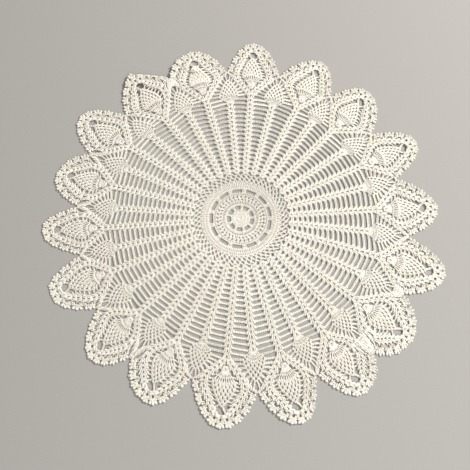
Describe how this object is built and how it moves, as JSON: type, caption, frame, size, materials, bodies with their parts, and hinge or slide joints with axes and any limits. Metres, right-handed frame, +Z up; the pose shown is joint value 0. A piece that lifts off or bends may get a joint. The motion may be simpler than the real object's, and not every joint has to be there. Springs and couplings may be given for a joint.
{
  "type": "crocheted lace doily",
  "caption": "Round crocheted lace doily lying flat, with ladder ribs, pineapple motifs and scalloped petals round its edge.",
  "frame": {"origin": "centre of the first crochet round, on the plane that the underside rests on", "axes": "+Z up through the lace, with the right side of the work facing up"},
  "size_m": [0.4759, 0.4826, 0.0055],
  "materials": {
    "ecru_cotton": "matte mercerised cotton thread, creamy white"
  },
  "bodies": {
    "root": {"doily": "ecru_cotton"}
  },
  "joints": []
}
